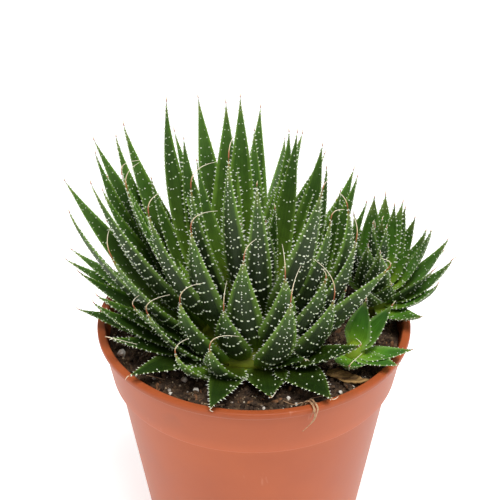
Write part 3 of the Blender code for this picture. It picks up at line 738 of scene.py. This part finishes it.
def leaf_finish(name, back_stops, upper_stops, margin):
    """A living leaf's skin: colour from root to tip on each face, a paler margin, fine lines and pores.

    The lines run the length of the leaf and differ from leaf to leaf. The pores are drawn coarser than
    life, so that they show.
    """
    made, tree, where = finish_of(name)
    place = add(tree, "ShaderNodeAttribute", attribute_name="leaf_place")
    kind = add(tree, "ShaderNodeAttribute", attribute_name="leaf_kind")
    kinds = add(tree, "ShaderNodeSeparateXYZ", {"Vector": kind.outputs["Vector"]})
    parts = add(tree, "ShaderNodeSeparateXYZ", {"Vector": place.outputs["Vector"]})
    cloud = add(tree, "ShaderNodeTexNoise", {"Vector": where, "Scale": every(5.88), "Detail": 3.0})
    drift = add(tree, "ShaderNodeMapRange",
                {"Value": cloud.outputs["Fac"], "To Min": -0.07, "To Max": 0.07})
    grown = add(tree, "ShaderNodeMath", {0: parts.outputs["X"], 1: drift.outputs[0]}, operation="ADD")
    length = add(tree, "ShaderNodeMix", {0: 0.75, 2: parts.outputs["X"], 3: grown.outputs[0]})
    back = add(tree, "ShaderNodeValToRGB", {"Fac": length.outputs[0]}, stops=back_stops)
    face = add(tree, "ShaderNodeValToRGB", {"Fac": length.outputs[0]}, stops=upper_stops)
    green = add(tree, "ShaderNodeMix",
                {0: kinds.outputs["Z"], 6: back.outputs[0], 7: face.outputs[0]}, data_type="RGBA")
    edge = add(tree, "ShaderNodeMath", {0: parts.outputs["Y"]}, operation="ABSOLUTE")
    rim = add(tree, "ShaderNodeMapRange",
              {"Value": edge.outputs[0], "From Min": 0.62, "From Max": 1.0, "To Max": 0.75})
    edged = add(tree, "ShaderNodeMix", {0: rim.outputs[0], 6: green.outputs[2], 7: colour(margin)},
                data_type="RGBA")
    tip = add(tree, "ShaderNodeMapRange",
              {"Value": parts.outputs["X"], "From Min": 0.93, "From Max": 0.975})
    rusty = add(tree, "ShaderNodeMath", {0: tip.outputs[0], 1: kinds.outputs["Y"]}, operation="MULTIPLY")
    dried = add(tree, "ShaderNodeMix", {0: rusty.outputs[0], 6: edged.outputs[2], 7: colour("#8C4526")},
                data_type="RGBA")
    lines = add(tree, "ShaderNodeCombineXYZ")
    for axis, scale in (("X", 2.5), ("Y", 11.0), ("Z", 7.3)):
        line = add(tree, "ShaderNodeMath", {0: parts.outputs[axis], 1: scale}, operation="MULTIPLY")
        tree.links.new(line.outputs[0], lines.inputs[axis])
    veins = add(tree, "ShaderNodeTexNoise", {"Vector": lines.outputs[0], "Scale": 1.0, "Detail": 3.0})
    mottle = add(tree, "ShaderNodeTexNoise", {"Vector": where, "Scale": every(2.38), "Detail": 5.0})
    both = add(tree, "ShaderNodeMath", {0: veins.outputs["Fac"], 1: mottle.outputs["Fac"]},
               operation="ADD")
    uneven = add(tree, "ShaderNodeMapRange", {"Value": both.outputs[0], "From Min": 0.6, "From Max": 1.4,
                                              "To Min": 0.7, "To Max": 1.3})
    # Each leaf's lightness scales its colour; on the low leaves this is painted shade
    value = add(tree, "ShaderNodeMath", {0: uneven.outputs[0], 1: kinds.outputs["X"]},
                operation="MULTIPLY")
    skin_colour = add(tree, "ShaderNodeHueSaturation",
                      {"Color": dried.outputs[2], "Value": value.outputs[0]})
    pores = add(tree, "ShaderNodeTexNoise", {"Vector": where, "Scale": every(0.385), "Detail": 3.0})
    height = add(tree, "ShaderNodeMath", {0: veins.outputs["Fac"], 1: pores.outputs["Fac"]},
                 operation="ADD")
    relief = add(tree, "ShaderNodeBump",
                 {"Height": height.outputs[0], "Strength": 0.3, "Distance": 0.3 * MM})
    dullness = add(tree, "ShaderNodeMapRange",
                   {"Value": mottle.outputs["Fac"], "To Min": 0.34, "To Max": 0.56})
    surface(tree, {"Base Color": skin_colour.outputs[0], "Roughness": dullness.outputs[0],
                   "Specular IOR Level": 0.2, "Subsurface Weight": 0.1,
                   "Subsurface Radius": (0.5, 1.0, 0.1), "Subsurface Scale": 1.2 * MM,
                   "Normal": relief.outputs[0]})
    return made


def mark(made, name, kind, domain, values):
    """Stores a value for each point or face of a piece, for its material to read."""
    layer = made.data.attributes.new(name, kind, domain)
    layer.data.foreach_set("vector" if kind == "FLOAT_VECTOR" else "value", np.array(values).ravel())


def rosette(label, head, specs, skin, odd, ends, seed, pitch, radius, tooth, dotted=1.0):
    """The pieces of one head: its leaves, tubercles, teeth and bristles.

    pitch is the distance between rows of tubercles, radius a tubercle's and tooth the longest tooth's
    length, all in millimetres. dotted is the share of tubercles that the head has.
    """
    node = label + "_rosette"
    rng = np.random.default_rng(seed)
    leaves = [Leaf(head, spec, rng) for spec in specs]
    # How light each leaf is: a random tone of its own, or the listed value, which on the low leaves is
    # painted shade
    tones_and_shade = [odd[n][0] if n in odd else rng.uniform(0.8, 1.1) for n in range(len(leaves))]
    shares = [dotted * (odd[n][1] if n in odd else 1.0) for n in range(len(leaves))]
    dried = [1.0 if n in ends else rng.uniform(0, 0.2) for n in range(len(leaves))]
    verts, faces, places, kinds = leaf_mesh(leaves, tones_and_shade, dried, head)
    blades = piece(label + "_leaves", verts, faces, skin, node, node, smooth=50)
    mark(blades, "leaf_place", "FLOAT_VECTOR", "POINT", places)
    mark(blades, "leaf_kind", "FLOAT_VECTOR", "FACE", kinds)
    verts, faces = spot_mesh(leaves, shares, rng, pitch, radius)
    piece(label + "_tubercles", verts, faces, wart, node, smooth=180)
    verts, faces, places = tooth_mesh(leaves, rng, tooth)
    teeth = piece(label + "_teeth", verts, faces, soft_tooth, node, smooth=80)
    mark(teeth, "tooth_place", "FLOAT", "POINT", places)
    verts, faces, places = bristle_mesh(leaves, ends, rng)
    bristles = piece(label + "_bristles", verts, faces, dried_tip, node, smooth=80)
    mark(bristles, "bristle_place", "FLOAT", "POINT", places)


# Skin of the grown leaves: a dark, dull green back, brighter along the margins and towards the tip,
# and a yellow green upper face that turns olive at the root.
grown_skin = leaf_finish(
    "lace_aloe_leaf_skin",
    [(0.0, "#848C26"), (0.12, "#4E661A"), (0.28, "#28361B"), (0.62, "#2D3E1E"), (0.85, "#436026"),
     (0.97, "#82904A")],
    [(0.0, "#80781C"), (0.12, "#637818"), (0.3, "#4A6716"), (0.7, "#3A5B1C"), (0.9, "#4F722C"),
     (0.97, "#82904A")],
    "#7BA23A")

# Tubercles: firm white warts, slightly green where the leaf shows through at their feet.
wart, tree, where = finish_of("white_leaf_tubercle")
blotch = add(tree, "ShaderNodeTexNoise", {"Vector": where, "Scale": every(1.11), "Detail": 3.0})
milk = add(tree, "ShaderNodeValToRGB", {"Fac": blotch.outputs["Fac"]},
           stops=[(0.35, "#B9CA9C"), (0.6, "#E6ECD6")])
grain = add(tree, "ShaderNodeTexNoise", {"Vector": where, "Scale": every(0.25)})
relief = add(tree, "ShaderNodeBump",
             {"Height": grain.outputs["Fac"], "Strength": 0.2, "Distance": 0.1 * MM})
surface(tree, {"Base Color": milk.outputs[0], "Roughness": 0.45, "Subsurface Weight": 0.2,
               "Subsurface Radius": (1.0, 1.0, 0.7), "Subsurface Scale": 0.4 * MM,
               "Normal": relief.outputs[0]})

# Teeth: green at the foot and translucent white from the middle out.
soft_tooth, tree, where = finish_of("white_leaf_teeth")
place = add(tree, "ShaderNodeAttribute", attribute_name="tooth_place")
speck = add(tree, "ShaderNodeTexNoise", {"Vector": where, "Scale": every(0.909), "Detail": 2.0})
lift = add(tree, "ShaderNodeMapRange", {"Value": speck.outputs["Fac"], "To Min": -0.15, "To Max": 0.15})
along = add(tree, "ShaderNodeMath", {0: place.outputs["Fac"], 1: lift.outputs[0]}, operation="ADD")
pale = add(tree, "ShaderNodeValToRGB", {"Fac": along.outputs[0]},
           stops=[(0.0, "#8FB064"), (0.25, "#D4E2B8"), (0.5, "#F4F5E9")])
surface(tree, {"Base Color": pale.outputs[0], "Roughness": 0.5, "Subsurface Weight": 0.25,
               "Subsurface Radius": (1.0, 1.0, 0.7), "Subsurface Scale": 0.5 * MM})

# Bristles: the leaf's dried end, rusty brown where it leaves the green and straw white further out.
dried_tip, tree, where = finish_of("dried_leaf_tip_bristle")
place = add(tree, "ShaderNodeAttribute", attribute_name="bristle_place")
fade = add(tree, "ShaderNodeValToRGB", {"Fac": place.outputs["Fac"]},
           stops=[(0.0, "#8C4526"), (0.16, "#B4663C"), (0.3, "#DCC39A"), (0.6, "#EDE3C8")])
fleck = add(tree, "ShaderNodeTexNoise", {"Vector": where, "Scale": every(0.667), "Detail": 3.0})
spotted = add(tree, "ShaderNodeMapRange", {"Value": fleck.outputs["Fac"], "To Min": 0.8, "To Max": 1.2})
toned = add(tree, "ShaderNodeHueSaturation", {"Color": fade.outputs[0], "Value": spotted.outputs[0]})
surface(tree, {"Base Color": toned.outputs[0], "Roughness": 0.6})

main_leaves = GROUND_RING + FRONT_RING + INNER_RING + BACK_RING + rows(MAIN_ROWS, seed=3)
rosette("main", MAIN_HEAD, main_leaves, grown_skin, ODD_LEAVES, BRISTLES, seed=21, pitch=3.8,
        radius=0.4, tooth=1.05)


# Side rosette
# A half-grown offset on the right, rooted in the same soil: narrower leaves of the same skin, a shade
# darker, with its heart leaves showing a bright yellow green.
SIDE_HEAD = (41.0, 8.0, 7.0, 6.0, 9.0)
SIDE_LEAVES = [
    (110, 109, 74, 28, 32, 10, 0.3), (90, 75, 55, 22, 29, 10, 0.4), (80, 47, 62, 26, 26, 8, 0.6),
    (70, 46, 49, 32, 27, 10, 0.3), (60, 54, 54, 15, 27, 8, 0.5), (42, 29, 48, 31, 25, 10, 0.35),
    (30, 15, 35, 45, 24, 10, 0.3), (12, 3, 40, 40, 26, 10, 0.25), (355, 8, 33, 29, 27, 10, 0.1),
    (340, 355, 15, 50, 25, 10, 0.1), (300, 348, 34, 15, 19, 10, 0.1), (235, 262, 35, 20, 17, 9, 0.05),
    (320, 335, 5, 60, 20, 10, 0.1), (285, 307, 4, 30, 19, 10, 0.0), (285, 290, 45, 15, 12, 8, 0.15),
    (250, 270, 55, 15, 24, 9, 0.4), (195, 222, 70, 8, 22, 8, 0.25), (150, 120, 60, 15, 24, 9, 0.3),
    (220, 255, 62, 15, 24, 9, 0.3),
]
SIDE_ROWS = [(20, 36, 4, 24, 21, 8, 0.0), (60, 137, 4, 74, 18, 6, 0.85)]
SIDE_BRISTLES = {9: (3, 1), 10: (3, 3.4), 12: (0.5, 1.5), 13: (0.5, 1), 11: (1, 1)}

# Skin of the offset's leaves: a deeper green back than the old head's, the same bright upper face.
offset_skin = leaf_finish(
    "offset_leaf_skin",
    [(0.0, "#93A338"), (0.14, "#4C681C"), (0.3, "#293A1B"), (0.62, "#2E4120"), (0.85, "#425F28"),
     (0.97, "#7F8C4A")],
    [(0.0, "#A7B03A"), (0.14, "#86A82A"), (0.4, "#56862A"), (0.75, "#466E24"), (0.97, "#7F8C4A")],
    "#7C9E48")
side_leaves = SIDE_LEAVES + rows(SIDE_ROWS, seed=4)
rosette("side", SIDE_HEAD, side_leaves, offset_skin, {}, SIDE_BRISTLES, seed=22, pitch=3.2,
        radius=0.34, tooth=0.9)


# Young rosette
# The youngest offset at the front right: a few fat soft leaves, nearly smooth and bright yellow green,
# on a short stem of its own that stands in the soil.
YOUNG_HEAD = (32.0, -21.0, 4.0, 4.6, 4.0)
YOUNG_LEAVES = [
    (60, 50, 68, 8, 14, 10, 0.3), (30, 22, 40, 15, 16, 10, 0.3), (255, 260, -2, 45, 12, 11, 0.1),
    (330, 340, 11, 15, 16, 9, 0.0), (295, 315, 10, 10, 15, 8, 0.0),
]
YOUNG_BRISTLES = {0: (0.5, 2), 1: (1, 1.5), 2: (4, 4), 3: (1, 1), 4: (1, 1)}

# Skin of the youngest leaves: full of water and chlorophyll, light enough to glow a little.
young_skin = leaf_finish(
    "young_leaf_skin",
    [(0.0, "#8FA82C"), (0.2, "#6E9A26"), (0.5, "#4F8224"), (0.8, "#47702C"), (0.97, "#7F8442")],
    [(0.0, "#93A82E"), (0.2, "#6F9F2A"), (0.5, "#4E8428"), (0.8, "#44702E"), (0.97, "#7C8A44")],
    "#92B765")
rosette("young", YOUNG_HEAD, YOUNG_LEAVES, young_skin, {}, YOUNG_BRISTLES, seed=23, pitch=3.0,
        radius=0.28, tooth=0.6, dotted=0.4)


# Dry leaf
# A dead leaf shed on the soil by the young rosette: papery, wrinkled, and curled up along both edges.
# The list gives x, y, z and half the width at points along it.
DRY_LEAF = [(23, -28, 89.2, 1.2), (26, -29, 89.6, 2.4), (29, -31, 89.3, 2.6), (32, -32, 89.3, 2.2),
            (34, -33, 89.7, 1.2), (36, -33, 90.3, 0.4)]
DRY_LEAF_THICKNESS = 0.6
DRY_LEAF_HALF_WIDTH = 2.6
# The angle its veins run at, in radians
DRY_LEAF_TURN = 0.42
DRY_LEAF_STATIONS = 40
DRY_LEAF_ACROSS = 12

# Papery dead leaf: tan with dark brown veins that run its length and a curled, wrinkled surface.
papery, tree, where = finish_of("papery_dead_leaf")
combed = add(tree, "ShaderNodeMapping", {"Vector": where, "Rotation": (0.0, 0.0, DRY_LEAF_TURN),
                                         "Scale": (every(8.33), every(1.11), every(1.11))})
veins = add(tree, "ShaderNodeTexNoise", {"Vector": combed.outputs[0], "Scale": 1.0, "Detail": 5.0})
tan = add(tree, "ShaderNodeValToRGB", {"Fac": veins.outputs["Fac"]},
          stops=[(0.3, "#5A3F22"), (0.5, "#93703F"), (0.7, "#C29A62")])
relief = add(tree, "ShaderNodeBump",
             {"Height": veins.outputs["Fac"], "Strength": 0.6, "Distance": 0.4 * MM})
surface(tree, {"Base Color": tan.outputs[0], "Roughness": 0.7, "Normal": relief.outputs[0]})

table = np.array(DRY_LEAF, float)
stations, sides = DRY_LEAF_STATIONS, DRY_LEAF_ACROSS
s = np.linspace(0, len(table) - 1, stations)
spine = np.stack([np.interp(s, range(len(table)), table[:, k]) for k in range(4)], 1)
way = table[-1, :3] - table[0, :3]
across = np.cross(way, [0, 0, 1.0])
across /= np.linalg.norm(across)
verts, faces = [], []
for i, (x, y, z, half) in enumerate(spine):
    for k in range(2 * sides):
        share = -1 + 2 * (k if k < sides else 2 * sides - 1 - k) / (sides - 1)
        wrinkle = 0.12 * sin(1.1 * i + 3 * share) + 0.1 * sin(0.6 * i + 7 * share)
        rise = 0.25 * half * share * share + wrinkle * half / DRY_LEAF_HALF_WIDTH
        rise += (0.5 if k < sides else -0.5) * DRY_LEAF_THICKNESS * (1 - 0.5 * abs(share))
        verts.append(tuple(np.array([x, y, z + rise]) + across * share * half))
for i in range(stations - 1):
    for k in range(2 * sides):
        a, b = 2 * sides * i + k, 2 * sides * i + (k + 1) % (2 * sides)
        faces.append((a, b, b + 2 * sides, a + 2 * sides))
faces += [tuple(range(2 * sides - 1, -1, -1)),
          tuple(range(2 * sides * (stations - 1), 2 * sides * stations))]
piece("dead_leaf", verts, faces, papery, "dry_leaf", "dry_leaf", smooth=70)


# Root fibres
# A tuft of dead roots worked up out of the soil: fine tan strands that hang over the lip of the pot, and
# loose ones lying about on the soil and among the leaves.
# Fibres over the lip: compass angle, distance from the pot's middle and height of points along each
WISP_FIBRES = [
    [(290, 47, 89.4), (290, 49, 92.3), (290, 51, 92.9), (290, 53.3, 92.5), (290, 53.6, 89),
     (289, 52.4, 86), (287, 51.6, 83)],
    [(291, 47, 89.3), (291, 49, 92.5), (291, 51, 93.1), (291, 53.6, 92.5), (290, 54, 89.5), (289, 53, 87)],
    [(288, 47, 89.4), (289, 49, 92.4), (290, 51, 93.1), (290, 53.4, 92.5), (288.5, 53.7, 89.5)],
]
STRANDS_PER_FIBRE = 3
# Radii of a strand and of a loose thread, at the start and the end
STRAND_RADII = (0.2, 0.1)
THREAD_RADII = (0.16, 0.09)
FIBRE_SEED = 31
# Loose threads: x, y, z of points along each
LOOSE_THREADS = [
    [(9, -42, 89.2), (12, -44.5, 89.8), (15, -43.5, 89.6), (18, -45, 89.3), (21, -43, 89.2)],
    [(12, -45.5, 89.0), (15, -46, 89.9), (19, -44, 90.2), (22, -44.8, 89.4)],
    [(16, -46, 89.0), (17, -43, 90.4), (20, -41, 90.0), (22, -39.5, 89.2)],
    [(-34, -29, 89.0), (-31, -31, 89.8), (-28, -31.5, 89.2)],
    [(-16, -43, 89.0), (-13, -44.5, 89.6), (-9, -44, 89.1)],
]

# Dead root: dry and fibrous, pinkish tan with darker joints.
root, tree, where = finish_of("dead_root_fibre")
joints = add(tree, "ShaderNodeTexNoise", {"Vector": where, "Scale": every(1.67), "Detail": 4.0})
tan = add(tree, "ShaderNodeValToRGB", {"Fac": joints.outputs["Fac"]},
          stops=[(0.3, "#8A6244"), (0.5, "#C09A74"), (0.7, "#DEC4A4")])
relief = add(tree, "ShaderNodeBump",
             {"Height": joints.outputs["Fac"], "Strength": 0.5, "Distance": 0.2 * MM})
surface(tree, {"Base Color": tan.outputs[0], "Roughness": 0.8, "Normal": relief.outputs[0]})


def smooth_path(points, steps):
    """Points along a soft curve through the given ones."""
    points = np.array(points, float)
    padded = np.concatenate([[2 * points[0] - points[1]], points, [2 * points[-1] - points[-2]]])
    made = []
    for a, b, c, d in zip(padded, padded[1:], padded[2:], padded[3:]):
        for s in np.arange(steps) / steps:
            made.append(0.5 * (2 * b + (c - a) * s + (2 * a - 5 * b + 4 * c - d) * s * s
                               + (3 * b - a - 3 * c + d) * s ** 3))
    return np.array(made + [points[-1]])


def tuft(paths, radii, steps):
    """Points and faces of threads that follow soft curves and grow thinner towards the end."""
    verts, faces = [], []
    for points in paths:
        path = smooth_path(points, steps)
        join(verts, faces, thread(path, np.linspace(*radii, len(path))))
    return verts, faces


rng = np.random.default_rng(FIBRE_SEED)
strands = []
for fibre in WISP_FIBRES:
    for k in range(STRANDS_PER_FIBRE):
        points = [(r * cos(radians(a)), r * sin(radians(a)), z) for a, r, z in fibre]
        points = np.array(points) + rng.uniform(-0.25, 0.25, (len(points), 3)) * [1, 0.6, 0.5]
        if k:
            points = points[:rng.integers(len(points) - 2, len(points) + 1)]
        strands.append(points)
piece("root_tuft", *tuft(strands, STRAND_RADII, steps=6), root, "root_wisp", "root_wisp", smooth=80)
piece("loose_threads", *tuft(LOOSE_THREADS, THREAD_RADII, steps=7), root, "root_wisp", smooth=80)


# Floor, light and camera
# The white sweep the pot is photographed on, lit evenly from all round, with a soft lamp above and in
# front, a weaker one at each side, and the camera that looks down on the pot from the front.
SWEEP_HALF_WIDTH = 3.0
LAMPS_AIM = (0.0, 0.0, 0.09)
# Lamps: name, place in metres, watts and size
LAMPS = [("top_lamp", (0.1, -0.25, 0.9), 6.0, 0.4), ("left_lamp", (-0.8, -0.1, 0.5), 1.2, 0.6),
         ("right_lamp", (0.8, -0.2, 0.4), 1.2, 0.6)]
CAMERA_PLACE = (0.0, -0.3308, 0.3168)
PICTURE_TURN = 0.23
LENS = 85.4
SENSOR = 36.0

# Sweep paper: matt and white with a faint cloudiness, glowing a little as an overlit sweep does.
sweep, tree, where = finish_of("white_paper_sweep")
fibre = add(tree, "ShaderNodeTexNoise", {"Vector": where, "Scale": every(16.7), "Detail": 3.0})
paper = add(tree, "ShaderNodeValToRGB", {"Fac": fibre.outputs["Fac"]},
            stops=[(0.3, "#FAFAFA"), (0.7, "#FEFEFE")])
surface(tree, {"Base Color": paper.outputs[0], "Roughness": 0.9, "Emission Color": colour("#FFFFFF"),
               "Emission Strength": 0.6})
mesh = bpy.data.meshes.new("paper_sweep")
w = SWEEP_HALF_WIDTH
mesh.from_pydata([(-w, -w, 0), (w, -w, 0), (w, w, 0), (-w, w, 0)], [], [(0, 1, 2, 3)])
mesh.materials.append(sweep)
floor = bpy.data.objects.new("paper_sweep", mesh)
bpy.context.scene.collection.objects.link(floor)

world = bpy.data.worlds.new("white_studio")
bpy.context.scene.world = world
world.use_nodes = True
sky = world.node_tree.nodes["Background"]
sky.inputs["Color"].default_value = colour("#FFFFFF")
sky.inputs["Strength"].default_value = 0.3

for name, place, power, size in LAMPS:
    light = bpy.data.lights.new(name, "AREA")
    light.energy = power
    light.size = size
    lamp = bpy.data.objects.new(name, light)
    lamp.location = place
    lamp.rotation_euler = (Vector(LAMPS_AIM) - Vector(place)).to_track_quat("-Z", "Y").to_euler()
    bpy.context.scene.collection.objects.link(lamp)

view = bpy.data.cameras.new("front_view")
view.lens = LENS
view.sensor_width = SENSOR
view.clip_end = 20.0
camera = bpy.data.objects.new("front_view", view)
camera.location = CAMERA_PLACE
camera.rotation_euler = (radians(90 - PICTURE_TILT), 0.0, radians(PICTURE_TURN))
bpy.context.scene.collection.objects.link(camera)
bpy.context.scene.camera = camera
bpy.context.scene.view_settings.view_transform = "Standard"
